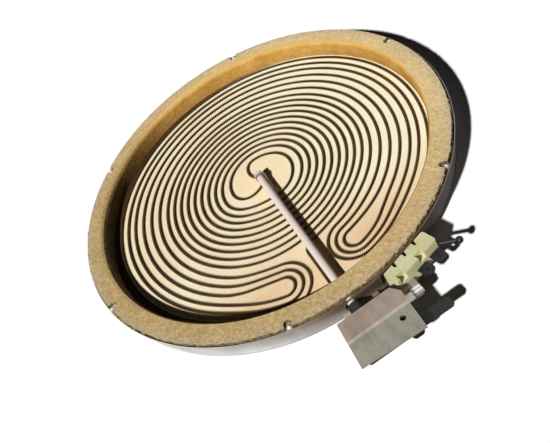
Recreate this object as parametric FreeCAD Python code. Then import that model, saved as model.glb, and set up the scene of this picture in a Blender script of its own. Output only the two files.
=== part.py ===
import FreeCAD, Part
import math
import os

os.makedirs("parts", exist_ok=True)
V = FreeCAD.Vector
UP = V(0, 0, 1)
ORIGIN = V(0, 0, 0)

# Dish: pressed sheet with a straight leaning wall, a large bottom corner and bent tabs
SHEET = 0.6
RIM_R = 115.6
RIM_Z = 21.0
WALL_LEAN = 2.8
CORNER_R = 10.0
TAB_COUNT = 6
TAB_FIRST_DEG = 13.4
TAB_W = 3.4
TAB_REACH = 5.2
SLOT_GAP = 0.5
WALL_FOOT_R = RIM_R - WALL_LEAN
DRAFT = WALL_LEAN / (RIM_Z - CORNER_R)

# Insulation: pressed board in the dish and a separate ring standing on it
FIT_GAP = 0.3
CLEAR = 1.0
BASE_TOP = 13.0
RING_STAND = 2.0
RING_INSET = 1.6
RING_WIDE = 11.15
RING_BEVEL = 1.2
RING_LEAN = 1.45
RING_FOOT_H = 5.5
RING_TOP = RIM_Z + RING_STAND
RING_R = RIM_R - RING_INSET
RING_BORE = RING_R - RING_WIDE
RING_FOOT_BORE = RING_BORE - RING_LEAN

# Heating ribbon: one strip wound as a double spiral of 17 turns with six hairpins
STRIP_W = 1.5
STRIP_H = 1.5
EDGE_GAP = 3.95
OUTER_TURN_R = RING_FOOT_BORE - EDGE_GAP
LOOP_X = -OUTER_TURN_R * 0.0164
FIRST_PITCH = OUTER_TURN_R * 0.0585
INNER_PITCH = OUTER_TURN_R * 0.0477
OUTER_PITCH = OUTER_TURN_R * 0.058
EDGE_PITCH = OUTER_TURN_R * 0.0503
LEFT_DEG = 103.0
RIGHT_DEG = 72.0
HAIRPIN_SPREAD = 26.0
LEFT_PULL = {11: 0.26, 12: 0.05, 13: -0.15, 14: 0.88, 15: 0.58, 16: 0.36}
RIGHT_PULL = {12: -0.30, 13: -0.50, 14: -0.71, 15: 0.42, 16: 0.35, 17: 0.27}
CURL = ((0.858, -0.086, 90.0), (0.474, 0.362, 178.0), (0.073, 0.013, -72.0), (0.216, -0.388, -88.0))
RIBBON_END_PAST = 3.8
RIBBON_END_PULL = 0.17

# Limiter: ceramic tube over a metal rod, running from the centre out to +Y
TUBE_X = 1.0
TUBE_LIFT = 4.8
TUBE_R = 2.2
TUBE_BORE_R = 1.3
ROD_R = 0.8
TUBE_Y0 = 3.0
CAP_R = TUBE_R + 0.55
CAP_L = 2.6
ROD_INSET = 0.5
COLLAR_R = TUBE_R + 1.1
COLLAR_L = 6.0
FIN_H = 5.9
FIN_L = 9.0
FIN_T = 0.8
FIN_SIDE = 2.6
STRAP_W = 1.6
TUBE_Z = BASE_TOP + TUBE_LIFT

# Limiter head outside the dish: ceramic body on a bracket, under a folded cover
SHELF_T = 0.8
HEAD_GAP = 8.4
HEAD_WEST = 16.5
HEAD_EAST = 10.0
HEAD_LONG = 21.5
HEAD_WALL = 3.0
HEAD_END = 7.5
HEAD_STEP_Y = 10.8
TUBE_SEAT = 2.0
HEAD_TOP = 20.6
HEAD_FLANGE = (76.0, 98.5)
JOG_H = 0.9
JOG_L = 1.2
CHAMBER_START = 3.0
CHAMBER_FLOOR = 2.0
EDGE_CHAMFER = 0.8
HEAD_X0 = TUBE_X - HEAD_WEST
HEAD_X1 = TUBE_X + HEAD_EAST
HEAD_Y0 = RIM_R + HEAD_GAP
HEAD_Y1 = HEAD_Y0 + HEAD_LONG
HEAD_Z0 = CORNER_R
TUBE_Y1 = HEAD_Y0 + TUBE_SEAT
CHAMBER_Y0 = HEAD_Y0 + CHAMBER_START
CHAMBER_Y1 = HEAD_Y1 - HEAD_END
CHAMBER_X0 = HEAD_X0 + HEAD_WALL

# Cover sheet over the head
COVER_T = 0.8
COVER_WEST = 21.3
COVER_EAST = 12.0
COVER_FLARE = 1.8
COVER_SETBACK = 0.5
COVER_BEND = 11.8
COVER_LONG = 29.0
COVER_CORNER = (3.5, 5.0)
COVER_HOLE_WEST = 14.3
COVER_HOLE_OUT = 17.9
COVER_HOLE_R = 1.6
SCREW_R = 1.3
SCREW_DEEP = 4.0
LUG_L = 5.0
COVER_Y0 = HEAD_Y0 + COVER_SETBACK
COVER_BEND_Y = HEAD_Y0 + COVER_BEND
COVER_Y1 = HEAD_Y0 + COVER_LONG

# Flat tabs and straps
TAB_T = 0.8
BLADE_W = 6.3
HEAD_TAB_W = 4.7
LEAD_T = 0.6
LEAD_SIDE = 3.0
FEED_OUT = 21.0
FEED_ARM = 6.0
FEED_CRANK = 13.5
BRIDGE_OUT = 14.5
EARTH_OUT = 5.6
EARTH_WEST = 4.0
TAB_ROOT = 5.0
ROOT_INSET = 1.4
FEED_Y = 9.4
BRIDGE_Y = 3.2
TIP_CHAMFER = 1.2
CONTACT_T = 0.5
CONTACT_GAP = 0.4
LEAD_X = TUBE_X + LEAD_SIDE
TAB_Z = BASE_TOP
STRAP_Z = TAB_Z + TAB_T
EARTH_Z = BASE_TOP + 2.0

# Steatite block beside the head, set square to the dish wall
BLOCK_ARC = 32.685
BLOCK_GAP = 0.4
BLOCK_DEEP = 9.0
BLOCK_END = 4.4
BLOCK_SLOT_W = 2.0
BLOCK_SLOT_D = 2.6
BLOCK_SLOT_H = 6.0
BLOCK_BAY_W = 4.4
BLOCK_BAY_D = 3.0
BLOCK_BAY_H = 4.0
BLOCK_TAB_V = (10.1, 1.2)
BLOCK_TAB_OUT = 7.0
BLOCK_TAB_HOLE_R = 0.9
BLOCK_TAB_ROOT = 3.2
BLOCK_LEAD_IN = 4.0
BLOCK_SHELF_HALF = 10.8
STUB_R = 0.9
STUB_BEAD_R = 1.9
STUB_SPREAD = 9.1
STUB_START = 5.0
STUB_END = 15.0
STUB_LIFT = 1.6
STUB_GAP = 0.6
LINK_WEST = 14.1
LINK_W = 5.0
RIB_H = 0.6
RIB_L = 1.4
RIB_BACK = (2.8, 4.7)
BLOCK_U0 = RIM_R + BLOCK_GAP
BLOCK_U1 = BLOCK_U0 + BLOCK_DEEP
BLOCK_HALF = BLOCK_TAB_V[0] + BLOCK_END
STUB_V = BLOCK_TAB_V[0] + BLOCK_TAB_ROOT / 2 + STUB_GAP + STUB_R
BLOCK_Z0 = CORNER_R
BLOCK_Z1 = RIM_Z
BLOCK_DEG = 90.0 + math.degrees(BLOCK_ARC / RIM_R)


def save(name, shape):
    if len(shape.Solids) == 1 and shape.ShapeType != "Solid":
        shape = shape.Solids[0]
    shape.exportStep("parts/" + name + ".step")


def box(x0, x1, y0, y1, z0, z1):
    return Part.makeBox(x1 - x0, y1 - y0, z1 - z0, V(x0, y0, z0))


def plate(points, z0, z1):
    wire = Part.makePolygon([V(x, y, z0) for x, y in points + points[:1]])
    return Part.Face(wire).extrude(V(0, 0, z1 - z0))


def along_y(radius, x, z, y0, y1):
    return Part.makeCylinder(radius, y1 - y0, V(x, y0, z), V(0, 1, 0))


def revolve(edges, degrees=360.0, start=0.0):
    body = Part.Face(Part.Wire(edges)).revolve(ORIGIN, UP, degrees)
    body.rotate(ORIGIN, UP, start)
    return body


def outline(points):
    closed = points + points[:1]
    return [Part.makeLine(V(a[0], 0, a[1]), V(b[0], 0, b[1])) for a, b in zip(closed, closed[1:])]


def turned(shape, degrees):
    copy = shape.copy()
    copy.rotate(ORIGIN, UP, degrees)
    return copy


def upright_edges(body):
    return [e for e in body.Edges if abs(e.tangentAt(0).z) > 0.9]


def tip_edges(body, at, axis):
    """Upright corner edges of a flat tab at its free end."""
    return [e for e in upright_edges(body) if abs(e.CenterOfMass[axis] - at) < 0.01]


def wall_r(z):
    return WALL_FOOT_R + (z - CORNER_R) * DRAFT


def bowl(inset, z1):
    """The dish's outline moved inward by inset and filled up to z1."""
    corner = CORNER_R - inset
    hub = WALL_FOOT_R - CORNER_R
    half = corner * math.sqrt(0.5)
    foot = V(hub, 0, inset)
    side = V(hub + corner, 0, CORNER_R)
    return revolve([
        Part.makeLine(V(0, 0, inset), foot),
        Part.Arc(foot, V(hub + half, 0, CORNER_R - half), side).toShape(),
        Part.makeLine(side, V(wall_r(z1) - inset, 0, z1)),
        Part.makeLine(V(wall_r(z1) - inset, 0, z1), V(0, 0, z1)),
        Part.makeLine(V(0, 0, z1), V(0, 0, inset)),
    ])


def heading(degrees):
    return V(math.cos(math.radians(degrees)), math.sin(math.radians(degrees)), 0)


def arc_from(start, tangent, end):
    """One run of the ribbon's path: start, tangent, end, centre and signed radius (0 for a line)."""
    chord = end - start
    normal = V(-tangent.y, tangent.x, 0)
    side = 2.0 * normal.dot(chord)
    if abs(side) < 1e-6 * chord.Length:
        return (start, tangent, end, None, 0.0)
    radius = chord.dot(chord) / side
    return (start, tangent, end, start + normal * radius, radius)


def biarc(node_a, node_b):
    """Two tangent arcs that join two path nodes, each given as x, y and heading."""
    a = V(node_a[0], node_a[1], 0)
    b = V(node_b[0], node_b[1], 0)
    ta = heading(node_a[2])
    tb = heading(node_b[2])
    v = b - a
    t = ta + tb
    k = 2.0 * (1.0 - ta.dot(tb))
    if k < 1e-9:
        if abs(ta.x * v.y - ta.y * v.x) < 1e-6:
            return [arc_from(a, ta, b)]
        d = v.dot(v) / (4.0 * v.dot(tb))
    else:
        d = (-v.dot(t) + math.sqrt(v.dot(t) ** 2 + k * v.dot(v))) / k
    middle = (a + b + (ta - tb) * d) * 0.5
    first = arc_from(a, ta, middle)
    turn = ta
    if first[3] is not None:
        arm = middle - first[3]
        turn = V(-arm.y, arm.x, 0) * (1.0 / first[4])
    return [first, arc_from(middle, turn, b)]


def turn_r(k):
    """Radius of turn k of the ribbon, counted from the middle and worked out from the outermost."""
    if k >= 15:
        return OUTER_TURN_R - EDGE_PITCH * (17 - k)
    if k >= 11:
        return turn_r(15) - OUTER_PITCH * (15 - k)
    if k >= 2:
        return turn_r(11) - INNER_PITCH * (11 - k)
    return turn_r(2) - FIRST_PITCH


def polar(radius, degrees, bearing):
    spot = heading(degrees) * radius
    return (LOOP_X + spot.x, spot.y, bearing)


def left(k, way):
    return (LOOP_X - turn_r(k), 0.0, 90.0 * way)


def right(k, way):
    return (LOOP_X + turn_r(k), 0.0, 90.0 * way)


def crossing(k, inward):
    """Where left turn k passes over the limiter's line towards right turn k + 2."""
    rise = 1.1 * (k - 1)
    y = turn_r(k) + INNER_PITCH * (0.473 + 0.03 * (k - 1))
    return (LOOP_X, y, 180.0 + rise if inward else rise)


def hairpin(low, high, on_left, upward):
    """Nodes of one hairpin that joins turns low and high beside the limiter's line."""
    degrees = LEFT_DEG if on_left else RIGHT_DEG
    pull = LEFT_PULL if on_left else RIGHT_PULL
    spread = HAIRPIN_SPREAD if on_left else -HAIRPIN_SPREAD
    arm = degrees - 90.0
    nodes = [
        polar(turn_r(low), degrees + spread, arm + spread),
        polar(turn_r(low) + pull[low] * OUTER_PITCH, degrees, arm),
        polar(turn_r(high) + pull[high] * OUTER_PITCH, degrees, arm + 180.0),
        polar(turn_r(high), degrees + spread, arm + spread + 180.0),
    ]
    if not on_left:
        nodes = [(x, y, d + 180.0) for x, y, d in nodes]
    if upward:
        return nodes
    return [(x, y, d + 180.0) for x, y, d in reversed(nodes)]


def ribbon_nodes():
    lead_turn = turn_r(11) + 0.88 * OUTER_PITCH
    nodes = [(LEAD_X, lead_start_y(), -90.0), (LEAD_X, lead_turn, -90.0), crossing(10, True)]
    for k in (10, 8, 6, 4):
        nodes += [left(k, -1), right(k, 1), crossing(k - 2, True)]
    nodes += [left(2, -1), (LOOP_X, -turn_r(2), 0.0)]
    nodes += [(x * turn_r(2), y * turn_r(2), d) for x, y, d in CURL]
    nodes += [(LOOP_X, -turn_r(1), 180.0)]
    for k in (1, 3, 5, 7, 9):
        nodes += [left(k, 1), crossing(k, False), right(k + 2, -1)]
    nodes += [left(11, 1)] + hairpin(11, 16, True, True)
    nodes += [left(16, -1), right(16, 1)] + hairpin(13, 16, False, False)
    nodes += [right(13, -1), left(13, 1)] + hairpin(13, 14, True, True)
    nodes += [left(14, -1), right(14, 1)] + hairpin(14, 15, False, True)
    nodes += [right(15, -1), left(15, 1)] + hairpin(12, 15, True, False)
    nodes += [left(12, -1), right(12, 1)] + hairpin(12, 17, False, True)
    nodes += [right(17, -1), left(17, 1), ribbon_end()]
    return nodes


def lead_start_y():
    return OUTER_TURN_R - 0.6 * OUTER_PITCH


def ribbon_end():
    radius = OUTER_TURN_R + RIBBON_END_PULL * OUTER_PITCH
    degrees = BLOCK_DEG + RIBBON_END_PAST
    return polar(radius, degrees, degrees - 90.0)


def offset_edge(run, shift):
    """Edge of the strip on one side of a run; positive shift is to the left of travel."""
    start, tangent, end, centre, radius = run
    if centre is None:
        normal = V(-tangent.y, tangent.x, 0) * shift
        return Part.makeLine(start + normal, end + normal)
    scale = (radius - shift) / radius
    a = start - centre
    b = end - centre
    sweep = math.atan2(b.y, b.x) - math.atan2(a.y, a.x)
    if radius > 0 and sweep < 0:
        sweep += 2 * math.pi
    if radius < 0 and sweep > 0:
        sweep -= 2 * math.pi
    half = FreeCAD.Rotation(UP, math.degrees(sweep / 2)).multVec(a)
    return Part.Arc(centre + a * scale, centre + half * scale, centre + b * scale).toShape()


def make_ribbon():
    nodes = ribbon_nodes()
    runs = []
    for a, b in zip(nodes, nodes[1:]):
        runs += biarc(a, b)
    port = [offset_edge(run, STRIP_W / 2) for run in runs]
    starboard = [offset_edge(run, -STRIP_W / 2) for run in runs]
    first = Part.makeLine(port[0].Vertexes[0].Point, starboard[0].Vertexes[0].Point)
    last = Part.makeLine(port[-1].Vertexes[1].Point, starboard[-1].Vertexes[1].Point)
    edges = Part.__sortEdges__(port + [last] + starboard[::-1] + [first])
    body = Part.Face(Part.Wire(edges)).extrude(V(0, 0, STRIP_H))
    body.translate(V(0, 0, BASE_TOP))
    return body


def tab_degrees():
    return [TAB_FIRST_DEG + 360.0 / TAB_COUNT * i for i in range(TAB_COUNT)]


def tab_shape(grow, z0, z1):
    """A bent tab with a round end, reaching in from the rim."""
    half = TAB_W / 2 + grow
    end = RIM_R - TAB_REACH + TAB_W / 2
    bar = box(end, RIM_R - SHEET / 2, -half, half, z0, z1)
    return bar.fuse(Part.makeCylinder(half, z1 - z0, V(end, 0, z0)))


def wall_openings(grow):
    """Ways through wall and ring for the tube, the inner lead and the outer lead."""
    y0 = RING_FOOT_BORE - RING_LEAN
    y1 = HEAD_Y0
    z0 = BASE_TOP - grow
    lead = box(TUBE_X - TUBE_R - grow, LEAD_X + LEAD_T / 2 + grow, y0, y1, z0, TUBE_Z)
    tube = along_y(TUBE_R + grow, TUBE_X, TUBE_Z, y0, y1)
    v = BLOCK_TAB_V[0]
    half = LEAD_T / 2 + 2 * grow
    outer = box(y0, y1, v - half, v + half, z0, BASE_TOP + STRIP_H + grow)
    return lead.fuse([tube, turned(outer, BLOCK_DEG)])


def make_dish():
    shell = bowl(0.0, RIM_Z).cut(bowl(SHEET, RIM_Z))
    tabs = [turned(tab_shape(0.0, RIM_Z - SHEET, RIM_Z), a) for a in tab_degrees()]
    mouth = box(TUBE_X - TUBE_R - SLOT_GAP, LEAD_X + LEAD_T / 2 + SLOT_GAP,
                RING_R, HEAD_Y0, TUBE_Z, RING_TOP)
    return shell.fuse(tabs).removeSplitter().cut(wall_openings(SLOT_GAP).fuse(mouth))


def make_base():
    body = bowl(SHEET + FIT_GAP, BASE_TOP + FIT_GAP)
    body.translate(V(0, 0, -FIT_GAP))
    return body


def make_ring():
    body = revolve(outline([
        (RING_FOOT_BORE, BASE_TOP),
        (wall_r(BASE_TOP) - SHEET - FIT_GAP, BASE_TOP),
        (RING_R, BASE_TOP + RING_FOOT_H),
        (RING_R, RING_TOP),
        (RING_BORE, RING_TOP),
        (RING_BORE - RING_BEVEL, RING_TOP - RING_BEVEL),
    ]))
    pockets = [turned(tab_shape(SLOT_GAP, RIM_Z - SHEET, RING_TOP), a) for a in tab_degrees()]
    return body.cut(pockets + [wall_openings(FIT_GAP)])


def curved_flange(z0, z1, start, end):
    """Sheet that lies against the outside of the dish wall."""
    points = [(wall_r(z0), z0), (wall_r(z0) + SHELF_T, z0), (wall_r(z1) + SHELF_T, z1), (wall_r(z1), z1)]
    return revolve(outline(points), end - start, start)


def shelf(shape):
    return shape.cut(Part.makeCylinder(WALL_FOOT_R, RIM_Z))


def make_head_bracket():
    flange = curved_flange(HEAD_Z0, RIM_Z, *HEAD_FLANGE)
    base = box(HEAD_X0 + HEAD_WALL, HEAD_X1 - HEAD_WALL, WALL_FOOT_R - CORNER_R, CHAMBER_Y1,
               HEAD_Z0 - SHELF_T, HEAD_Z0)
    return flange.cut(wall_openings(SLOT_GAP)).fuse(shelf(base)).removeSplitter()


def head_tabs():
    """The flat tabs set in the limiter body, the feed tab cranked, with the names of their nodes."""
    inside = HEAD_X0 + TAB_ROOT
    feed_x = HEAD_X0 - FEED_OUT
    feed_y = HEAD_Y0 + FEED_Y
    arm_x = HEAD_X0 - FEED_ARM
    root = box(arm_x, inside, feed_y, feed_y + HEAD_TAB_W, TAB_Z, TAB_Z + TAB_T)
    arm = box(arm_x, HEAD_X0 - CLEAR, feed_y, feed_y + FEED_CRANK, TAB_Z, TAB_Z + TAB_T)
    feed = box(feed_x, HEAD_X0 - CLEAR, feed_y + FEED_CRANK - BLADE_W, feed_y + FEED_CRANK,
               TAB_Z, TAB_Z + TAB_T)
    feed = feed.makeChamfer(TIP_CHAMFER, tip_edges(feed, feed_x, 0)).fuse([root, arm]).removeSplitter()
    bridge_x = HEAD_X0 - BRIDGE_OUT
    bridge = box(bridge_x, inside, HEAD_Y0 + BRIDGE_Y, HEAD_Y0 + BRIDGE_Y + HEAD_TAB_W,
                 TAB_Z, TAB_Z + TAB_T)
    earth_x = HEAD_X0 + ROOT_INSET - EARTH_WEST
    earth_y = HEAD_Y1 + EARTH_OUT
    stem = box(HEAD_X0 + ROOT_INSET, earth_x + BLADE_W, CHAMBER_Y1, HEAD_Y1, EARTH_Z, EARTH_Z + TAB_T)
    earth = box(earth_x, earth_x + BLADE_W, HEAD_Y1, earth_y, EARTH_Z, EARTH_Z + TAB_T)
    earth = earth.makeChamfer(TIP_CHAMFER, tip_edges(earth, earth_y, 1)).fuse(stem).removeSplitter()
    return [
        ("feed_tab", feed),
        ("bridge_tab", bridge.makeChamfer(TIP_CHAMFER, tip_edges(bridge, bridge_x, 0))),
        ("earth_tab", earth),
    ]


def make_body():
    """Ceramic body: stepped on top to suit the cover, with an open switch chamber."""
    body = box(HEAD_X0, HEAD_X1, HEAD_Y0, HEAD_Y1, HEAD_Z0, HEAD_TOP + JOG_H)
    body = body.makeChamfer(EDGE_CHAMFER, upright_edges(body))
    step = box(HEAD_X0 - CLEAR, HEAD_X1 + CLEAR, HEAD_Y0 + HEAD_STEP_Y, HEAD_Y1 + CLEAR,
               HEAD_TOP, RING_TOP)
    chamber = box(CHAMBER_X0, HEAD_X1 - HEAD_WALL, CHAMBER_Y0, CHAMBER_Y1,
                  HEAD_Z0 + CHAMBER_FLOOR, RING_TOP)
    bore = along_y(TUBE_R, TUBE_X, TUBE_Z, RIM_R, TUBE_Y1)
    rod_way = along_y(TUBE_BORE_R, TUBE_X, TUBE_Z, RIM_R, CHAMBER_Y1)
    lead = box(LEAD_X - LEAD_T / 2, LEAD_X + LEAD_T / 2, RIM_R, CHAMBER_Y1, BASE_TOP, BASE_TOP + STRIP_H)
    screw = Part.makeCylinder(SCREW_R, SCREW_DEEP + CLEAR, cover_hole() + UP * (HEAD_TOP - SCREW_DEEP))
    return body.cut([step, chamber, bore, rod_way, lead, screw] + [shape for name, shape in head_tabs()])


def cover_hole():
    return V(TUBE_X - COVER_HOLE_WEST, HEAD_Y0 + COVER_HOLE_OUT, 0)


def make_cover():
    """Folded sheet with one jog across it, and a lug down each side of the body."""
    near_z = HEAD_TOP + JOG_H
    bend = COVER_BEND_Y
    miter = COVER_T * math.tan(math.atan2(JOG_H, JOG_L) / 2)
    section = [
        (COVER_Y0, near_z),
        (bend, near_z),
        (bend + JOG_L, HEAD_TOP),
        (COVER_Y1, HEAD_TOP),
        (COVER_Y1, HEAD_TOP + COVER_T),
        (bend + JOG_L + miter, HEAD_TOP + COVER_T),
        (bend + miter, near_z + COVER_T),
        (COVER_Y0, near_z + COVER_T),
    ]
    west = TUBE_X - COVER_WEST
    east = TUBE_X + COVER_EAST
    wire = Part.makePolygon([V(west, y, z) for y, z in section + section[:1]])
    sheet = Part.Face(wire).extrude(V(east + COVER_FLARE - west, 0, 0))
    trim = plate([
        (west + COVER_CORNER[0], COVER_Y0),
        (east, COVER_Y0),
        (east + COVER_FLARE, COVER_Y1 - COVER_FLARE),
        (west + COVER_FLARE / 2, COVER_Y1),
        (west, COVER_Y0 + COVER_CORNER[1]),
    ], 0, RING_TOP)
    hole = Part.makeCylinder(COVER_HOLE_R, RING_TOP, cover_hole())
    west_lug = box(HEAD_X0 - COVER_T, HEAD_X0, COVER_Y0, CHAMBER_Y0 - FIT_GAP, TUBE_Z, near_z)
    east_lug = box(HEAD_X1, HEAD_X1 + COVER_T, CHAMBER_Y0, CHAMBER_Y0 + LUG_L, TAB_Z, near_z)
    return sheet.common(trim).cut(hole).fuse([west_lug, east_lug]).removeSplitter()


def make_switch_blade():
    """Snap blade that the rod's end works, fixed to the bridge tab."""
    x0 = CHAMBER_X0 + CONTACT_GAP
    y0 = HEAD_Y0 + BRIDGE_Y + EDGE_CHAMFER
    arm_y = rod_end()
    foot = box(x0, x0 + STRAP_W, y0, arm_y + CLEAR, STRAP_Z, STRAP_Z + CONTACT_T)
    post = box(x0, x0 + CONTACT_T, y0, arm_y + CLEAR, STRAP_Z, TUBE_Z + ROD_R)
    arm = box(x0, TUBE_X + TUBE_R, arm_y, arm_y + CONTACT_T, TUBE_Z - ROD_R, TUBE_Z + ROD_R)
    return foot.fuse([post, arm]).removeSplitter()


def make_contact():
    """Fixed contact on the feed tab, with its button facing the blade."""
    x0 = CHAMBER_X0 + CONTACT_GAP
    y0 = HEAD_Y0 + FEED_Y + CONTACT_GAP
    foot = box(x0, x0 + STRAP_W, y0, y0 + BLADE_W / 2, STRAP_Z, STRAP_Z + CONTACT_T)
    post = box(x0, x0 + BLADE_W, y0, y0 + CONTACT_T, STRAP_Z, TUBE_Z + ROD_R)
    button = along_y(ROD_R, x0 + BLADE_W - TUBE_R, TUBE_Z, y0 - ROD_R, y0)
    return foot.fuse([post, button]).removeSplitter()


def rod_end():
    return CHAMBER_Y0 + CAP_L


def make_rod():
    return along_y(ROD_R, TUBE_X, TUBE_Z, TUBE_Y0 - CAP_L + ROD_INSET, rod_end())


def make_inner_lead():
    return box(LEAD_X - LEAD_T / 2, LEAD_X + LEAD_T / 2, lead_start_y(), rod_end(),
               BASE_TOP, BASE_TOP + STRIP_H)


def make_outer_lead():
    """Strip from the ribbon's outer end through the ring into the block."""
    v = BLOCK_TAB_V[0]
    end = ribbon_end()
    start = V(end[0], end[1], 0).dot(heading(BLOCK_DEG)) + LEAD_T / 2
    run = box(start, BLOCK_U0 + BLOCK_LEAD_IN, v - LEAD_T / 2, v + LEAD_T / 2,
              BASE_TOP, BASE_TOP + STRIP_H)
    return turned(run, BLOCK_DEG).cut(make_ribbon())


def block_tab(v):
    """Flat tab set in the block: a narrow root inside, the full blade outside."""
    z0 = BASE_TOP + STRIP_H
    tip = BLOCK_U1 + BLOCK_TAB_OUT
    root = box(BLOCK_U0 + BLOCK_SLOT_D, BLOCK_U1, v - BLOCK_TAB_ROOT / 2, v + BLOCK_TAB_ROOT / 2,
               z0, z0 + TAB_T)
    blade = box(BLOCK_U1, tip, v - BLADE_W / 2, v + BLADE_W / 2, z0, z0 + TAB_T)
    blade = blade.makeChamfer(TIP_CHAMFER, tip_edges(blade, tip, 0))
    blade = blade.cut(Part.makeCylinder(BLOCK_TAB_HOLE_R, TAB_T, V(tip - BLADE_W / 2, v, z0)))
    return root.fuse(blade).removeSplitter()


def make_block_tabs():
    return Part.makeCompound([turned(block_tab(v), BLOCK_DEG) for v in BLOCK_TAB_V])


def make_block():
    """Terminal block with slots on the dish side and two bays on the outside."""
    body = box(BLOCK_U0, BLOCK_U1, -BLOCK_HALF, BLOCK_HALF, BLOCK_Z0, BLOCK_Z1)
    body = body.makeChamfer(EDGE_CHAMFER, upright_edges(body))
    pitch = BLOCK_HALF / 2
    cuts = []
    for v in (-pitch, 0.0, pitch):
        cuts.append(box(BLOCK_U0 - CLEAR, BLOCK_U0 + BLOCK_SLOT_D, v - BLOCK_SLOT_W / 2,
                        v + BLOCK_SLOT_W / 2, BLOCK_Z1 - BLOCK_SLOT_H, BLOCK_Z1 + CLEAR))
    for v in (-1.35 * pitch, 0.5 * pitch):
        cuts.append(box(BLOCK_U1 - BLOCK_BAY_D, BLOCK_U1 + CLEAR, v - BLOCK_BAY_W / 2,
                        v + BLOCK_BAY_W / 2, BLOCK_Z1 - BLOCK_BAY_H, BLOCK_Z1 + CLEAR))
    cuts += [block_tab(v) for v in BLOCK_TAB_V]
    v = BLOCK_TAB_V[0]
    cuts.append(box(BLOCK_U0 - CLEAR, BLOCK_U0 + BLOCK_LEAD_IN, v - LEAD_T / 2, v + LEAD_T / 2,
                    BASE_TOP, BASE_TOP + STRIP_H))
    return turned(body.cut(cuts), BLOCK_DEG).cut([make_link(), make_stub()])


def make_block_bracket():
    half = math.degrees(BLOCK_SHELF_HALF / RIM_R)
    flange = curved_flange(BLOCK_Z0, BASE_TOP - CLEAR, BLOCK_DEG - half, BLOCK_DEG + half)
    base = box(WALL_FOOT_R - CORNER_R, BLOCK_U1 - CLEAR, -BLOCK_SHELF_HALF, BLOCK_SHELF_HALF,
               BLOCK_Z0 - SHELF_T, BLOCK_Z0)
    return flange.fuse(shelf(turned(base, BLOCK_DEG))).removeSplitter()


def make_link():
    """Strap between the block and the bridge tab, crimped twice where it is welded on."""
    x0 = HEAD_X0 - LINK_WEST
    y1 = HEAD_Y0 + BRIDGE_Y + HEAD_TAB_W
    strap = box(x0, x0 + LINK_W, RIM_R, y1, STRAP_Z, STRAP_Z + TAB_T)
    ribs = []
    for back in RIB_BACK:
        ribs.append(box(x0, x0 + LINK_W, y1 - back, y1 - back + RIB_L,
                        STRAP_Z + TAB_T, STRAP_Z + TAB_T + RIB_H))
    return strap.fuse(ribs).removeSplitter()


def make_stub():
    """Bare wire stub with a beaded end on the far end of the block."""
    z = TAB_Z + STUB_LIFT
    start = V(BLOCK_U0 + STUB_START, STUB_V, z)
    end = V(BLOCK_U0 + STUB_END, STUB_V + STUB_SPREAD, z)
    wire = Part.makeCylinder(STUB_R, (end - start).Length, start, end - start)
    return turned(wire.fuse(Part.makeSphere(STUB_BEAD_R, end)).removeSplitter(), BLOCK_DEG)


def make_tube():
    tube = along_y(TUBE_R, TUBE_X, TUBE_Z, TUBE_Y0, TUBE_Y1)
    return tube.cut(along_y(TUBE_BORE_R, TUBE_X, TUBE_Z, TUBE_Y0, TUBE_Y1))


def make_collar():
    """Metal collar on the tube against the limiter body."""
    collar = along_y(COLLAR_R, TUBE_X, TUBE_Z, HEAD_Y0 - COLLAR_L, HEAD_Y0)
    return collar.cut(along_y(TUBE_R, TUBE_X, TUBE_Z, RIM_R, HEAD_Y0))


def make_cap():
    """End piece crimped on the rod against the tube's inner end."""
    return along_y(CAP_R, TUBE_X, TUBE_Z, TUBE_Y0 - CAP_L, TUBE_Y0).cut(make_rod())


def make_foot():
    """Three-cornered foot that carries the tube's inner end on the board."""
    x0 = TUBE_X - FIN_SIDE - FIN_T
    rows = [(TUBE_Y0, BASE_TOP), (TUBE_Y0 + FIN_L, BASE_TOP), (TUBE_Y0, BASE_TOP + FIN_H)]
    wire = Part.makePolygon([V(x0, y, z) for y, z in rows + rows[:1]])
    cheek = Part.Face(wire).extrude(V(FIN_T, 0, 0))
    collar = along_y(CAP_R, TUBE_X, TUBE_Z, TUBE_Y0, TUBE_Y0 + STRAP_W)
    bridge = box(x0, TUBE_X, TUBE_Y0, TUBE_Y0 + STRAP_W, TUBE_Z - LEAD_T, TUBE_Z + LEAD_T)
    return cheek.fuse([collar, bridge]).cut(make_tube_space()).removeSplitter()


def make_tube_space():
    return along_y(TUBE_R, TUBE_X, TUBE_Z, TUBE_Y0 - CLEAR, TUBE_Y1)


save("dish", make_dish())
save("base_board", make_base())
save("insulation_ring", make_ring())
save("heating_ribbon", make_ribbon())
save("limiter_tube", make_tube())
save("limiter_rod", make_rod())
save("rod_end_cap", make_cap())
save("tube_foot", make_foot())
save("tube_collar", make_collar())
save("limiter_bracket", make_head_bracket())
save("limiter_body", make_body())
save("limiter_cover", make_cover())
save("switch_blade", make_switch_blade())
save("fixed_contact", make_contact())
for tab_name, tab in head_tabs():
    save(tab_name, tab)
save("inner_lead", make_inner_lead())
save("outer_lead", make_outer_lead())
save("terminal_block", make_block())
save("block_tabs", make_block_tabs())
save("block_bracket", make_block_bracket())
save("link_strap", make_link())
save("wire_stub", make_stub())
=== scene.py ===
import math
import random

import bpy
from mathutils import Matrix, Vector


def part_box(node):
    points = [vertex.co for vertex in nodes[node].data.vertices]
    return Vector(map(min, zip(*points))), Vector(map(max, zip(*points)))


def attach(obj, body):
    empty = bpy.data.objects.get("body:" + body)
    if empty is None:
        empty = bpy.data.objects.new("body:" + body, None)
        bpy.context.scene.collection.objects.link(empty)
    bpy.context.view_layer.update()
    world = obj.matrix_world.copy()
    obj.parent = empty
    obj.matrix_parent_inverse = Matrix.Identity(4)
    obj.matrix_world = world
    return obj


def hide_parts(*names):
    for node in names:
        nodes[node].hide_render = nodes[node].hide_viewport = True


MM = 0.001

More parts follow.
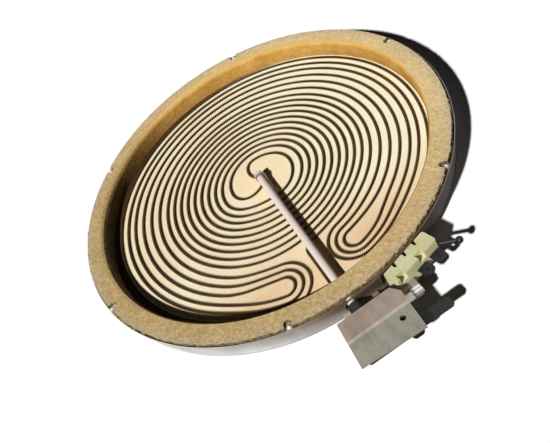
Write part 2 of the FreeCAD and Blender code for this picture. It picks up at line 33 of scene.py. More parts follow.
# The ribbon's winding, the same values as the part's source; lengths in millimetres
STRIP_W = 1.5
OUTER_TURN_R = 97.45
LOOP_X = -OUTER_TURN_R * 0.0164
FIRST_PITCH = OUTER_TURN_R * 0.0585
INNER_PITCH = OUTER_TURN_R * 0.0477
OUTER_PITCH = OUTER_TURN_R * 0.058
EDGE_PITCH = OUTER_TURN_R * 0.0503
TURNS = 17
EDGE_FROM = 15
OUTER_FROM = 11
INNER_FROM = 2
CROSSING_TILT_DEG = 1.1
CROSSING_LIFT = 0.473
CROSSING_LIFT_STEP = 0.03
LEFT_DEG = 103.0
RIGHT_DEG = 72.0
HAIRPIN_SPREAD = 26.0
LEFT_PULL = {11: 0.26, 12: 0.05, 13: -0.15, 14: 0.88, 15: 0.58, 16: 0.36}
RIGHT_PULL = {12: -0.30, 13: -0.50, 14: -0.71, 15: 0.42, 16: 0.35, 17: 0.27}
CURL = ((0.858, -0.086, 90.0), (0.474, 0.362, 178.0), (0.073, 0.013, -72.0), (0.216, -0.388, -88.0))
LEAD_X = 4.0
LEAD_START_PULL = -0.6
LEAD_TURN_PULL = 0.88
RIBBON_END_DEG = 110.0
RIBBON_END_PULL = 0.17

# Below these a run counts as straight, and two bearings as the same
STRAIGHT = 1e-6
PARALLEL = 1e-9

# The corrugated foil that takes the strip's place, in millimetres
FOIL_T = 0.3
WAVE_PITCH = 1.25
STEPS_PER_WAVE = 4

# Flakes along the ring's frayed outer edge: SIZE and DROP in millimetres, THICK, SUNK, REACH
# and LONG as shares of the flake's size, and RAGGED as a share of its thickness
CRUMB_COUNT = 640
CRUMB_SIZE = (0.4, 1.5)
CRUMB_DROP = (0.0, 1.2)
CRUMB_THICK = (0.25, 0.6)
CRUMB_SUNK = 0.2
CRUMB_REACH = (0.65, 1.0)
CRUMB_LONG = 1.5
CRUMB_RAGGED = (-0.3, 0.3)
CRUMB_SIDES = 7
CRUMB_SEED = 5

# Gaps in the ring's outer edge: a pocket for each tab of the dish, and the tube's mouth
POCKET_COUNT = 6
POCKET_FIRST_DEG = 13.4
POCKET_STEP_DEG = 360.0 / POCKET_COUNT
POCKET_HALF_DEG = 1.6
MOUTH_DEG = 90.0
MOUTH_HALF_DEG = 2.6

# The rolled ends of the dish's tabs, in millimetres
BEAD_R = 1.45
BEAD_PATH_R = 113.3
BEAD_Z = 20.6
BEAD_SIDES = 14
BEAD_RINGS = 7

# Where the finishes and the painted light and shade change, in metres; a LEAN adds a share of
# another direction
RING_BEVEL = (0.1024, 0.1031)
RING_EDGE = (0.1028, 0.1054)
RING_EDGE_LEAN = 0.022
RING_SIDE = (0.0222, 0.0229)
RING_GREY = (0.1095, 0.1130)
# Painted shade down the ring's inner wall towards its foot
RING_FOOT_SHADE = (0.0125, 0.0180)
# Painted shade on the inner wall and bevel towards +X, the side away from the key
RING_SHADE_SIDE = (0.0200, 0.0950)
# Painted sheen on the ring's top, paler towards -X and -Y
RING_SHEEN_FADE = (-0.1100, 0.1100)
RING_SHEEN_FADE_LEAN = 0.45
# Painted shade on the board along the ring's foot, leaned wider towards +X
BOARD_FOOT_SHADE = (0.0990, 0.1000)
BOARD_FOOT_SHADE_LEAN = 0.03
BOARD_OPEN = (0.0480, 0.0780)
BOARD_PALE = (-0.0600, 0.0000)
BOARD_HEART = (0.0150, 0.0210)
# Stain and painted shade on the sheet, darker upwards and towards the limiter head
DISH_STAIN_AND_SHADE = (-0.0600, 0.0300)
DISH_STAIN_AND_SHADE_LEAN = -3.0
# Painted shade on the sheet's -X side, away from the key
DISH_FAR_SHADE = (-0.0700, -0.0400)
DISH_UNDER = (0.0010, 0.0070)
COVER_FOLD = (0.1360, 0.1368)
# Bright crimps on the strap's raised tops: bare metal with a painted highlight
STRAP_CRIMP_HIGHLIGHT = (0.0145, 0.0149)

# Levels of a noise between which two colours fade into each other
PATCH_SOFT = (0.35, 0.65)
PATCH_WIDE = (0.3, 0.7)
PATCH_BOARD = (0.35, 0.62)

# Grain drawn out along one direction, as scales of the noise
SHEET_GRAIN = (1.0, 1.0, 12.0)
SHEET_GRAIN_DEPTH = 0.00008
COVER_GRAIN = (1.0, 6.0, 1.0)
COVER_RUB = (1.0, 0.35, 1.0)
TUBE_STREAK = (1.0, 0.15, 1.0)

# The camera fitted to the photograph, in the part's frame
CAMERA_SPOT = (0.00871, 0.34282, 0.31420)
CAMERA_RIGHT = (-0.8171, 0.4036, -0.4116)
CAMERA_DOWN = (0.5764, 0.5721, -0.5834)
CAMERA_AHEAD = (0.0, -0.7140, -0.7002)
LENS = 50.83
SENSOR_WIDTH = 36.0
CLIP_START = 0.01

# Light: one key from behind the camera and a little to its left, and a weak fill
KEY_AZIMUTH = 46.0
KEY_HEIGHT = 42.0
KEY_STRENGTH = 4.72
KEY_SOFTNESS = 2.5
FILL_STRENGTH = 0.006

# The studio floor, in metres, and the share of light that it throws back
FLOOR_HALF = 4.0
FLOOR_BOUNCE = 0.3

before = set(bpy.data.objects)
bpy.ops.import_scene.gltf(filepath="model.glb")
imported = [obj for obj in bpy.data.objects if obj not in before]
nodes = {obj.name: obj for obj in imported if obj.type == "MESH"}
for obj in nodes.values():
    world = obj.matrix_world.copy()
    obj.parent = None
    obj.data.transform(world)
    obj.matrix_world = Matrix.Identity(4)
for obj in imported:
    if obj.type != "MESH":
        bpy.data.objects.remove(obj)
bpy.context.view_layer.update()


def heading(degrees):
    return Vector((math.cos(math.radians(degrees)), math.sin(math.radians(degrees))))


def arc_from(start, tangent, end):
    """A run of the ribbon's path: start, tangent, end, centre and signed radius (0 on a line)."""
    chord = end - start
    normal = Vector((-tangent.y, tangent.x))
    side = 2.0 * normal.dot(chord)
    if abs(side) < STRAIGHT * chord.length:
        return (start, tangent, end, None, 0.0)
    radius = chord.dot(chord) / side
    return (start, tangent, end, start + normal * radius, radius)


def biarc(node_a, node_b):
    """The two runs that join two nodes and keep both bearings."""
    a = Vector(node_a[:2])
    b = Vector(node_b[:2])
    ta = heading(node_a[2])
    tb = heading(node_b[2])
    v = b - a
    t = ta + tb
    k = 2.0 * (1.0 - ta.dot(tb))
    if k < PARALLEL:
        if abs(ta.x * v.y - ta.y * v.x) < STRAIGHT:
            return [arc_from(a, ta, b)]
        d = v.dot(v) / (4.0 * v.dot(tb))
    else:
        d = (-v.dot(t) + math.sqrt(v.dot(t) ** 2 + k * v.dot(v))) / k
    middle = (a + b + (ta - tb) * d) * 0.5
    first = arc_from(a, ta, middle)
    centre, radius = first[3:]
    turn = ta
    if centre is not None:
        arm = middle - centre
        turn = Vector((-arm.y, arm.x)) / radius
    return [first, arc_from(middle, turn, b)]


def turn_r(k):
    """Radius of turn k, counted from the middle and worked out from the outermost."""
    if k >= EDGE_FROM:
        return OUTER_TURN_R - EDGE_PITCH * (TURNS - k)
    if k >= OUTER_FROM:
        return turn_r(EDGE_FROM) - OUTER_PITCH * (EDGE_FROM - k)
    if k >= INNER_FROM:
        return turn_r(OUTER_FROM) - INNER_PITCH * (OUTER_FROM - k)
    return turn_r(INNER_FROM) - FIRST_PITCH


def polar(radius, degrees, bearing):
    spot = heading(degrees) * radius
    return (LOOP_X + spot.x, spot.y, bearing)


def left(k, way):
    return (LOOP_X - turn_r(k), 0.0, 90.0 * way)


def right(k, way):
    return (LOOP_X + turn_r(k), 0.0, 90.0 * way)


def crossing(k, inward):
    """Where left turn k passes over the limiter's line towards right turn k + 2."""
    rise = CROSSING_TILT_DEG * (k - 1)
    y = turn_r(k) + INNER_PITCH * (CROSSING_LIFT + CROSSING_LIFT_STEP * (k - 1))
    return (LOOP_X, y, 180.0 + rise if inward else rise)


def hairpin(low, high, on_left, upward):
    """Nodes of one hairpin that joins turns low and high beside the limiter's line."""
    degrees = LEFT_DEG if on_left else RIGHT_DEG
    pull = LEFT_PULL if on_left else RIGHT_PULL
    spread = HAIRPIN_SPREAD if on_left else -HAIRPIN_SPREAD
    arm = degrees - 90.0
    found = [
        polar(turn_r(low), degrees + spread, arm + spread),
        polar(turn_r(low) + pull[low] * OUTER_PITCH, degrees, arm),
        polar(turn_r(high) + pull[high] * OUTER_PITCH, degrees, arm + 180.0),
        polar(turn_r(high), degrees + spread, arm + spread + 180.0),
    ]
    if not on_left:
        found = [(x, y, d + 180.0) for x, y, d in found]
    if upward:
        return found
    return [(x, y, d + 180.0) for x, y, d in reversed(found)]


def ribbon_nodes():
    """The winding from the inner lead to the ribbon's end: x, y and bearing of each node."""
    lead_start = OUTER_TURN_R + LEAD_START_PULL * OUTER_PITCH
    lead_turn = turn_r(11) + LEAD_TURN_PULL * OUTER_PITCH
    way = [(LEAD_X, lead_start, -90.0), (LEAD_X, lead_turn, -90.0), crossing(10, True)]
    for k in (10, 8, 6, 4):
        way += [left(k, -1), right(k, 1), crossing(k - 2, True)]
    way += [left(2, -1), (LOOP_X, -turn_r(2), 0.0)]
    way += [(x * turn_r(2), y * turn_r(2), d) for x, y, d in CURL]
    way += [(LOOP_X, -turn_r(1), 180.0)]
    for k in (1, 3, 5, 7, 9):
        way += [left(k, 1), crossing(k, False), right(k + 2, -1)]
    way += [left(11, 1)] + hairpin(11, 16, True, True)
    way += [left(16, -1), right(16, 1)] + hairpin(13, 16, False, False)
    way += [right(13, -1), left(13, 1)] + hairpin(13, 14, True, True)
    way += [left(14, -1), right(14, 1)] + hairpin(14, 15, False, True)
    way += [right(15, -1), left(15, 1)] + hairpin(12, 15, True, False)
    way += [left(12, -1), right(12, 1)] + hairpin(12, 17, False, True)
    way += [right(17, -1), left(17, 1)]
    end_r = OUTER_TURN_R + RIBBON_END_PULL * OUTER_PITCH
    way += [polar(end_r, RIBBON_END_DEG, RIBBON_END_DEG - 90.0)]
    return way


def run_length(run):
    start, _, end, centre, radius = run
    if centre is None:
        return (end - start).length
    return abs(radius) * sweep_of(run)


def sweep_of(run):
    start, _, end, centre, radius = run
    a = start - centre
    b = end - centre
    sweep = math.atan2(b.y, b.x) - math.atan2(a.y, a.x)
    if radius < 0:
        sweep = -sweep
    return sweep % (2 * math.pi)


def point_on(run, length):
    """Place and unit normal on a run, at that length from its start."""
    start, tangent, _, centre, radius = run
    if centre is None:
        return start + tangent * length, Vector((-tangent.y, tangent.x))
    arm = Matrix.Rotation(length / radius, 2) @ (start - centre)
    return centre + arm, -arm / radius


def foil_points():
    """Points along the foil's middle, waving from side to side of the strip's line."""
    way = ribbon_nodes()
    runs = []
    for a, b in zip(way, way[1:]):
        runs += biarc(a, b)
    total = sum(run_length(r) for r in runs)
    waves = round(total / WAVE_PITCH)
    count = waves * STEPS_PER_WAVE
    step = total / count
    swing = (STRIP_W - FOIL_T) / 2
    points = []
    walked = 0.0
    index = 0
    for i in range(count + 1):
        s = i * step
        while index < len(runs) - 1 and s > walked + run_length(runs[index]):
            walked += run_length(runs[index])
            index += 1
        spot, normal = point_on(runs[index], min(s - walked, run_length(runs[index])))
        phase = 2 * math.pi * i / STEPS_PER_WAVE
        points.append(spot + normal * swing * math.sin(phase))
    return points


def mesh_piece(name, verts, faces):
    mesh = bpy.data.meshes.new(name)
    mesh.from_pydata([tuple(v) for v in verts], [], faces)
    mesh.validate()
    mesh.update()
    piece = bpy.data.objects.new(name, mesh)
    bpy.context.scene.collection.objects.link(piece)
    return piece


def make_foil():
    """The corrugated foil, as high as the strip and standing on the board."""
    points = foil_points()
    low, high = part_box("heating_ribbon")
    verts = []
    faces = []
    last = len(points) - 1
    for i, p in enumerate(points):
        ahead = points[min(i + 1, last)] - points[max(i - 1, 0)]
        side = Vector((-ahead.y, ahead.x)).normalized() * FOIL_T / 2
        for spot in (p + side, p - side):
            for z in (low.z, high.z):
                verts.append((spot.x * MM, spot.y * MM, z))
    for i in range(last):
        a = 4 * i
        b = a + 4
        faces += [(a, b, b + 1, a + 1), (a + 2, a + 3, b + 3, b + 2)]
        faces += [(a + 1, b + 1, b + 3, a + 3), (a, a + 2, b + 2, b)]
    end = 4 * last
    faces += [(0, 1, 3, 2), (end, end + 2, end + 3, end + 1)]
    return mesh_piece("ribbon_foil", verts, faces)


def in_gap(degrees):
    """True at the ring's tab pockets and at its mouth for the tube."""
    half_step = POCKET_STEP_DEG / 2
    from_pocket = (degrees - POCKET_FIRST_DEG + half_step) % POCKET_STEP_DEG - half_step
    return abs(from_pocket) < POCKET_HALF_DEG or abs(degrees - MOUTH_DEG) < MOUTH_HALF_DEG


def make_crumbs():
    """Small flakes that stand out of the ring's outer top edge and are rooted in it."""
    chance = random.Random(CRUMB_SEED)
    _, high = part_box("insulation_ring")
    verts = []
    faces = []
    for i in range(CRUMB_COUNT):
        degrees = chance.uniform(0.0, 360.0)
        size = chance.uniform(*CRUMB_SIZE) * MM
        deep = chance.uniform(*CRUMB_THICK) * size
        if in_gap(degrees):
            continue
        out = heading(degrees)
        spot = out * (high.x - CRUMB_SUNK * size)
        drop = chance.uniform(*CRUMB_DROP) * MM
        middle = Vector((spot.x, spot.y, high.z - deep - drop))
        along = Vector((-out.y, out.x, 0.0))
        away = Vector((out.x, out.y, 0.0))
        first = len(verts)
        for k in range(CRUMB_SIDES):
            turn = 2 * math.pi * k / CRUMB_SIDES
            reach = size * chance.uniform(*CRUMB_REACH)
            place = along * math.cos(turn) * reach * CRUMB_LONG + away * math.sin(turn) * reach
            verts.append(middle + place + Vector((0, 0, chance.uniform(*CRUMB_RAGGED) * deep)))
        verts += [middle + Vector((0, 0, deep)), middle - Vector((0, 0, deep))]
        for k in range(CRUMB_SIDES):
            a = first + k
            b = first + (k + 1) % CRUMB_SIDES
            faces += [(a, b, first + CRUMB_SIDES), (b, a, first + CRUMB_SIDES + 1)]
    return mesh_piece("ring_crumbs", verts, faces)


def make_beads():
    """The rounded, rolled end of each rim tab, down in its pocket."""
    verts = []
    faces = []
    for k in range(POCKET_COUNT):
        flat = heading(POCKET_FIRST_DEG + k * POCKET_STEP_DEG) * BEAD_PATH_R
        middle = Vector((flat.x, flat.y, BEAD_Z)) * MM
        first = len(verts)
        for i in range(1, BEAD_RINGS):
            tilt = math.pi * i / BEAD_RINGS
            for j in range(BEAD_SIDES):
                ring = heading(360.0 * j / BEAD_SIDES) * math.sin(tilt)
                verts.append(middle + Vector((ring.x, ring.y, math.cos(tilt))) * BEAD_R * MM)
        top = len(verts)
        verts += [middle + Vector((0, 0, BEAD_R * MM)), middle - Vector((0, 0, BEAD_R * MM))]
        for i in range(BEAD_RINGS - 2):
            for j in range(BEAD_SIDES):
                a = first + i * BEAD_SIDES + j
                b = first + i * BEAD_SIDES + (j + 1) % BEAD_SIDES
                faces.append((a, a + BEAD_SIDES, b + BEAD_SIDES, b))
        last = first + (BEAD_RINGS - 2) * BEAD_SIDES
        for j in range(BEAD_SIDES):
            after = (j + 1) % BEAD_SIDES
            faces += [(top, first + j, first + after), (top + 1, last + after, last + j)]
    piece = mesh_piece("tab_beads", verts, faces)
    piece.data.shade_smooth()
    return piece


class Paint:
    """A small builder of node materials."""

    def __init__(self, name):
        self.material = bpy.data.materials.new(name)
        self.material.use_nodes = True
        self.tree = self.material.node_tree
        self.shader = self.tree.nodes["Principled BSDF"]
        self.coords = self.tree.nodes.new("ShaderNodeTexCoord").outputs["Object"]

    def add(self, kind, **inputs):
        made = self.tree.nodes.new(kind)
        for key, value in inputs.items():
            made.inputs[key.replace("_", " ")].default_value = value
        return made

    def link(self, a, b):
        self.tree.links.new(a, b)

    def noise(self, scale, detail=4.0, rough=0.55, stretch=None):
        made = self.add("ShaderNodeTexNoise", Scale=scale, Detail=detail, Roughness=rough)
        source = self.coords
        if stretch:
            mapping = self.tree.nodes.new("ShaderNodeMapping")
            mapping.inputs["Scale"].default_value = stretch
            self.link(source, mapping.inputs["Vector"])
            source = mapping.outputs["Vector"]
        self.link(source, made.inputs["Vector"])
        return made.outputs["Fac"]

    def cells(self, scale):
        made = self.add("ShaderNodeTexVoronoi", Scale=scale)
        self.link(self.coords, made.inputs["Vector"])
        return made

    def ramp(self, source, stops):
        made = self.tree.nodes.new("ShaderNodeValToRGB")
        band = made.color_ramp
        while len(band.elements) < len(stops):
            band.elements.new(0.5)
        for element, (at, colour) in zip(band.elements, stops):
            element.position = at
            element.color = (*colour, 1.0)
        self.link(source, made.inputs["Fac"])
        return made.outputs["Color"]

    def patches(self, scale, detail, one, other, levels=PATCH_SOFT):
        """Soft patches of two colours."""
        return self.ramp(self.noise(scale, detail), [(levels[0], one), (levels[1], other)])

    def fill(self, socket, value):
        """Links another socket to this one, or writes a colour or a number into it."""
        if isinstance(value, bpy.types.NodeSocket):
            self.link(value, socket)
        elif isinstance(value, tuple):
            socket.default_value = (*value, 1.0)
        else:
            socket.default_value = value

    def mix(self, amount, a, b, blend="MIX"):
        made = self.tree.nodes.new("ShaderNodeMix")
        made.data_type = "RGBA"
        made.blend_type = blend
        for key, value in (("Factor", amount), ("A", a), ("B", b)):
            self.fill(made.inputs[key], value)
        return made.outputs["Result"]

    def spread(self, source, low, high):
        """Maps 0..1 to low..high."""
        made = self.add("ShaderNodeMapRange", To_Min=low, To_Max=high)
        self.link(source, made.inputs["Value"])
        return made.outputs["Result"]

    def band(self, source, edges):
        """0 below the first edge and 1 above the second."""
        made = self.add("ShaderNodeMapRange", From_Min=edges[0], From_Max=edges[1])
        self.link(source, made.inputs["Value"])
        return made.outputs["Result"]

    def sum(self, a, b, share):
        """The first plus a share of the second."""
        made = self.tree.nodes.new("ShaderNodeMath")
        made.operation = "MULTIPLY_ADD"
        self.link(b, made.inputs[0])
        made.inputs[1].default_value = share
        self.link(a, made.inputs[2])
        return made.outputs[0]

    def place(self, axis):
        made = self.tree.nodes.new("ShaderNodeSeparateXYZ")
        self.link(self.coords, made.inputs["Vector"])
        return made.outputs[axis]

    def radius(self):
        """Distance from the part's upright axis."""
        flat = self.tree.nodes.new("ShaderNodeCombineXYZ")
        self.link(self.place("X"), flat.inputs["X"])
        self.link(self.place("Y"), flat.inputs["Y"])
        made = self.tree.nodes.new("ShaderNodeVectorMath")
        made.operation = "LENGTH"
        self.link(flat.outputs["Vector"], made.inputs[0])
        return made.outputs["Value"]

    def bump(self, source, depth, strength=0.6, under=None):
        made = self.add("ShaderNodeBump", Strength=strength, Distance=depth)
        self.link(source, made.inputs["Height"])
        if under is not None:
            self.link(under, made.inputs["Normal"])
        self.link(made.outputs["Normal"], self.shader.inputs["Normal"])
        return made.outputs["Normal"]

    def brushed(self):
        """The fine upright grain of sheet, pressed into the surface."""
        grain = self.noise(500.0, 5.0, 0.6, SHEET_GRAIN)
        self.bump(grain, SHEET_GRAIN_DEPTH, 0.25)
        return grain

    def finish(self, colour, roughness, metallic=0.0, specular=0.5):
        self.fill(self.shader.inputs["Base Color"], colour)
        self.fill(self.shader.inputs["Roughness"], roughness)
        self.shader.inputs["Metallic"].default_value = metallic
        self.shader.inputs["Specular IOR Level"].default_value = specular
        return self.material


def srgb(r, g, b):
    """Base colour from 0..255 display values."""
    shares = (r / 255, g / 255, b / 255)
    return tuple(c / 12.92 if c <= 0.04045 else ((c + 0.055) / 1.055) ** 2.4 for c in shares)


def board_material():
    """Cream between the turns, peach where the board lies open, painted shade along the ring's
    foot.
    """
    paint = Paint("base_insulation")
    cream = paint.patches(22.0, 3.0, srgb(246, 234, 204), srgb(240, 222, 186), PATCH_BOARD)
    peach = paint.patches(30.0, 3.0, srgb(238, 208, 166), srgb(228, 192, 148), PATCH_BOARD)
    cream = paint.mix(paint.band(paint.place("X"), BOARD_PALE), srgb(252, 243, 210), cream)
    heart = paint.patches(30.0, 3.0, srgb(250, 230, 188), srgb(246, 220, 176), PATCH_BOARD)
    tone = paint.mix(paint.band(paint.radius(), BOARD_HEART), heart, cream)
    tone = paint.mix(paint.band(paint.place("Y"), BOARD_OPEN), tone, peach)
    grain = paint.noise(900.0, 6.0, 0.7)
    flecks = paint.ramp(grain, [(0.3, srgb(214, 176, 132)), (0.7, srgb(250, 240, 214))])
    tone = paint.mix(0.22, tone, flecks)
    # Painted shade: dark brown where the ring's wall meets the board, wider towards +X, where the
    # wall shades the board
    rim = paint.sum(paint.radius(), paint.place("X"), BOARD_FOOT_SHADE_LEAN)
    tone = paint.mix(paint.band(rim, BOARD_FOOT_SHADE), tone, srgb(58, 40, 22))
    paint.bump(grain, 0.0004, 0.5)
    return paint.finish(tone, 0.95, specular=0.1)


def ring_material():
    """Pressed flakes: tan on the flat top with a painted sheen, golden down the inner wall with
    painted shade at its foot and towards +X, brown outside.
    """
    paint = Paint("ring_insulation")
    # Painted sheen: the flat top is paler towards -X and -Y and darker towards +X and +Y
    across = paint.sum(paint.place("X"), paint.place("Y"), RING_SHEEN_FADE_LEAN)
    top = paint.ramp(paint.band(across, RING_SHEEN_FADE), [
        (0.05, srgb(232, 206, 152)), (0.45, srgb(214, 182, 132)), (0.95, srgb(186, 161, 112))])
    clouds = paint.patches(38.0, 5.0, srgb(238, 240, 234), srgb(255, 255, 255))
    top = paint.mix(1.0, top, clouds, "MULTIPLY")
    greyed = paint.mix(0.5, top, srgb(176, 168, 150))
    top = paint.mix(paint.band(paint.radius(), RING_GREY), top, greyed)
    gold = paint.patches(60.0, 4.0, srgb(178, 128, 50), srgb(202, 156, 76))
    foot_shade = paint.patches(60.0, 4.0, srgb(154, 104, 42), srgb(184, 132, 64))
    brown = paint.patches(90.0, 4.0, srgb(52, 40, 26), srgb(92, 74, 50))
    # Painted shade: the inner wall turns from gold to a darker umber towards its foot
    wall = paint.mix(paint.band(paint.place("Z"), RING_FOOT_SHADE), foot_shade, gold)
    # Painted light and shade: towards +X, where the inner wall faces away from the key, the wall is
    # painted near black and the bevel a dull copy of its lit pale gold
    shade_side = paint.band(paint.place("X"), RING_SHADE_SIDE)
    wall = paint.mix(shade_side, wall, srgb(46, 28, 8))
    bevel = paint.mix(shade_side, srgb(230, 190, 116), srgb(136, 110, 64))
    wall = paint.mix(paint.band(paint.radius(), RING_BEVEL), wall, bevel)
    outer = paint.mix(paint.band(paint.place("Z"), RING_SIDE), brown, top)
    lean = paint.sum(paint.radius(), paint.place("Y"), RING_EDGE_LEAN)
    on_top = paint.band(lean, RING_EDGE)
    tone = paint.mix(on_top, wall, outer)
    flakes = paint.cells(700.0)
    flecks = paint.ramp(flakes.outputs["Color"], [
        (0.2, srgb(122, 94, 52)), (0.5, srgb(184, 152, 102)), (0.85, srgb(228, 198, 146))])
    grit = paint.noise(420.0, 6.0, 0.7)
    first = paint.bump(grit, 0.0007, 0.6)
    paint.bump(flakes.outputs["Distance"], 0.0003, 0.4, first)
    tone = paint.mix(paint.spread(on_top, 0.12, 0.26), tone, flecks)
    return paint.finish(tone, paint.spread(flakes.outputs["Distance"], 0.6, 0.95), specular=0.2)


def ribbon_material():
    paint = Paint("ribbon_alloy")
    tone = paint.patches(60.0, 3.0, srgb(56, 40, 12), srgb(82, 64, 28))
    paint.bump(paint.noise(3000.0), 0.00005, 0.3)
    return paint.finish(tone, 0.6, metallic=0.3, specular=0.3)


def tube_material():
    paint = Paint("tube_ceramic")
    streaks = paint.noise(30.0, 3.0, stretch=TUBE_STREAK)
    tone = paint.ramp(streaks, [(0.35, srgb(206, 190, 180)), (0.7, srgb(228, 214, 204))])
    paint.bump(paint.noise(500.0, 4.0), 0.0002, 0.2)
    return paint.finish(tone, 0.5, specular=0.4)


def steel_material(name, dark, pale, rough, metallic):
    paint = Paint(name)
    tone = paint.patches(40.0, 3.0, dark, pale, PATCH_WIDE)
    grain = paint.brushed()
    return paint.finish(tone, paint.spread(grain, rough - 0.08, rough + 0.12), metallic=metallic)


def sheet_material(name):
    """Pale sheet, stained and painted with shade browner upwards and towards the limiter head, and
    painted a shaded grey past it.
    """
    paint = Paint(name)
    # Partly stain, partly painted shade: browner upwards under the ring's edge and towards the
    # limiter head, whose shade falls there
    stain_and_shade = paint.sum(paint.place("X"), paint.place("Z"), DISH_STAIN_AND_SHADE_LEAN)
    tone = paint.ramp(paint.band(stain_and_shade, DISH_STAIN_AND_SHADE), [
        (0.05, srgb(92, 74, 60)), (0.22, srgb(134, 118, 104)), (0.34, srgb(166, 154, 144)),
        (0.6, srgb(192, 187, 181)), (0.95, srgb(228, 227, 225))])
    # Painted shade: the sheet turns a darker grey towards -X, the side away from the key
    tone = paint.mix(paint.band(paint.place("X"), DISH_FAR_SHADE), srgb(116, 106, 104), tone)
    tone = paint.mix(paint.band(paint.place("Z"), DISH_UNDER), srgb(182, 179, 175), tone)
    clouds = paint.patches(70.0, 4.0, srgb(228, 226, 222), srgb(255, 255, 255), PATCH_WIDE)
    tone = paint.mix(1.0, tone, clouds, "MULTIPLY")
    return paint.finish(tone, paint.spread(paint.brushed(), 0.45, 0.65), metallic=0.1)


def strap_material():
    """Purple grey strap with bright crimps, partly bare metal and partly a painted highlight on
    their raised tops.
    """
    paint = Paint("link_metal")
    strap = paint.patches(40.0, 3.0, srgb(98, 84, 88), srgb(128, 116, 118), PATCH_WIDE)
    # Partly bare metal, partly a painted highlight: the strap is painted bright above this height
    tone = paint.mix(paint.band(paint.place("Z"), STRAP_CRIMP_HIGHLIGHT), strap, srgb(232, 226, 216))
    return paint.finish(tone, paint.spread(paint.brushed(), 0.35, 0.55), metallic=0.4)


def cover_material():
    """Dull rubbed sheet, warmer on the near half and greener past the jog."""
    paint = Paint("cover_sheet")
    near = paint.patches(60.0, 3.0, srgb(152, 134, 121), srgb(170, 154, 141), PATCH_WIDE)
    far = paint.patches(60.0, 3.0, srgb(137, 133, 119), srgb(155, 151, 137), PATCH_WIDE)
    tone = paint.mix(paint.band(paint.place("Y"), COVER_FOLD), near, far)
    rubbed = paint.ramp(paint.noise(260.0, 5.0, 0.65, COVER_RUB), [
        (0.35, srgb(226, 224, 222)), (0.6, srgb(250, 250, 250))])
    tone = paint.mix(1.0, tone, rubbed, "MULTIPLY")
    grain = paint.noise(500.0, 5.0, 0.6, COVER_GRAIN)
    paint.bump(grain, 0.0001, 0.3)
    return paint.finish(tone, paint.spread(grain, 0.45, 0.65), metallic=0.2)


def ceramic_material(name, dark, pale):
    paint = Paint(name)
    tone = paint.patches(120.0, 4.0, dark, pale, PATCH_WIDE)
    paint.bump(paint.noise(1400.0, 5.0), 0.00015, 0.35)
    return paint.finish(tone, 0.6, specular=0.3)


def floor_material():
    """White to the eye, and duller to every other ray, so that it throws little light back."""
    paint = Paint("studio_floor")
    white = paint.patches(3.0, 2.0, srgb(254, 254, 254), srgb(255, 255, 255), PATCH_WIDE)
    paint.finish(white, 0.9, specular=0.0)
    dull = paint.add("ShaderNodeBsdfDiffuse", Color=(FLOOR_BOUNCE, FLOOR_BOUNCE, FLOOR_BOUNCE, 1.0))
    rays = paint.tree.nodes.new("ShaderNodeLightPath")
    either = paint.tree.nodes.new("ShaderNodeMixShader")
    paint.link(rays.outputs["Is Camera Ray"], either.inputs["Fac"])
    paint.link(dull.outputs["BSDF"], either.inputs[1])
    paint.link(paint.shader.outputs["BSDF"], either.inputs[2])
    paint.link(either.outputs["Shader"], paint.tree.nodes["Material Output"].inputs["Surface"])
    return paint.material


def dress(material, *names):
    for name in names:
        nodes[name].data.materials.clear()
        nodes[name].data.materials.append(material)


def make_camera():
    data = bpy.data.cameras.new("camera")
    data.lens = LENS
    data.sensor_width = SENSOR_WIDTH
    data.clip_start = CLIP_START
    eye = bpy.data.objects.new("camera", data)
    across = Vector(CAMERA_RIGHT).normalized()
    up = -Vector(CAMERA_DOWN).normalized()
    back = -Vector(CAMERA_AHEAD).normalized()
    turn = Matrix((across, up, back)).transposed().to_4x4()
    eye.matrix_world = Matrix.Translation(Vector(CAMERA_SPOT)) @ turn
    bpy.context.scene.collection.objects.link(eye)
    bpy.context.scene.camera = eye


def make_key():
    data = bpy.data.lights.new("key", "SUN")
    data.energy = KEY_STRENGTH
    data.angle = math.radians(KEY_SOFTNESS)
    key = bpy.data.objects.new("key", data)
    flat = heading(KEY_AZIMUTH) * math.cos(math.radians(KEY_HEIGHT))
    towards = Vector((flat.x, flat.y, math.sin(math.radians(KEY_HEIGHT))))
    key.rotation_euler = towards.to_track_quat("Z", "Y").to_euler()
    bpy.context.scene.collection.objects.link(key)


def either(tree, a, b):
    """The greater of two sockets: 1 where one of two kinds of ray is met."""
    made = tree.nodes.new("ShaderNodeMath")
    made.operation = "MAXIMUM"
    tree.links.new(a, made.inputs[0])
    tree.links.new(b, made.inputs[1])
    return made.outputs[0]


def make_world():
    """White to the eye and in reflections, and a weak fill to every other ray."""
    world = bpy.data.worlds.new("studio")
    world.use_nodes = True
    bpy.context.scene.world = world
    tree = world.node_tree
    sky = tree.nodes["Background"]
    sky.inputs["Color"].default_value = (1.0, 1.0, 1.0, 1.0)
    rays = tree.nodes.new("ShaderNodeLightPath")
    seen = either(tree, rays.outputs["Is Camera Ray"], rays.outputs["Is Transmission Ray"])
    seen = either(tree, seen, rays.outputs["Is Glossy Ray"])
    level = tree.nodes.new("ShaderNodeMapRange")
    level.inputs["To Min"].default_value = FILL_STRENGTH
    level.inputs["To Max"].default_value = 1.0
    tree.links.new(seen, level.inputs["Value"])
    tree.links.new(level.outputs["Result"], sky.inputs["Strength"])


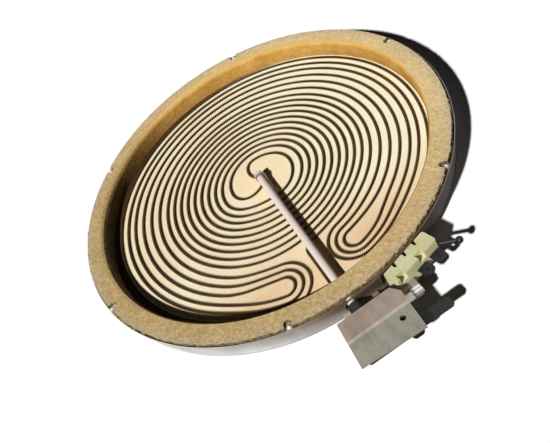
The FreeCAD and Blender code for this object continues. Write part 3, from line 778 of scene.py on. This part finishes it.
def make_floor():
    half = FLOOR_HALF
    corners = [(-half, -half, 0), (half, -half, 0), (half, half, 0), (-half, half, 0)]
    piece = mesh_piece("floor", corners, [(0, 1, 2, 3)])
    piece.data.materials.append(floor_material())


def add_piece(piece, material):
    piece.data.materials.append(material)
    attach(piece, "root")


def main():
    make_camera()
    make_key()
    make_world()
    make_floor()
    alloy = ribbon_material()
    foil = make_foil()
    add_piece(foil, alloy)
    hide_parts("heating_ribbon")
    ring = ring_material()
    add_piece(make_crumbs(), ring)
    dress(ring, "insulation_ring")
    dress(board_material(), "base_board")
    dress(tube_material(), "limiter_tube")
    dress(sheet_material("dish_sheet"), "dish")
    bead = steel_material("bead_metal", srgb(196, 190, 182), srgb(228, 222, 214), 0.3, 0.5)
    add_piece(make_beads(), bead)
    dress(cover_material(), "limiter_cover")
    dress(sheet_material("bracket_sheet"), "limiter_bracket", "block_bracket")
    # Painted shade: the steatite body under the cover is painted near black for the shade it sits
    # in
    dress(ceramic_material("body_steatite", srgb(40, 32, 26), srgb(58, 48, 40)), "limiter_body")
    dress(ceramic_material("block_steatite", srgb(188, 182, 136), srgb(208, 202, 160)),
          "terminal_block")
    # Near black tabs, stub and collar: partly dark oxidised metal, partly painted shade for the
    # shade round the limiter head
    dress(steel_material("dark_tab_and_shade", srgb(14, 13, 13), srgb(28, 26, 26), 0.5, 0.3),
          "feed_tab", "block_tabs", "wire_stub", "tube_collar", "earth_tab")
    dress(steel_material("bright_tab", srgb(190, 186, 178), srgb(222, 218, 210), 0.3, 0.8),
          "bridge_tab", "rod_end_cap", "limiter_rod")
    dress(steel_material("foot_metal", srgb(118, 92, 84), srgb(166, 138, 128), 0.4, 0.4),
          "tube_foot")
    dress(strap_material(), "link_strap")
    dress(alloy, "inner_lead", "outer_lead")
    dress(steel_material("contact_metal", srgb(150, 120, 70), srgb(190, 160, 100), 0.35, 0.8),
          "switch_blade", "fixed_contact")


main()
scene = bpy.context.scene
scene.view_settings.view_transform = "Standard"
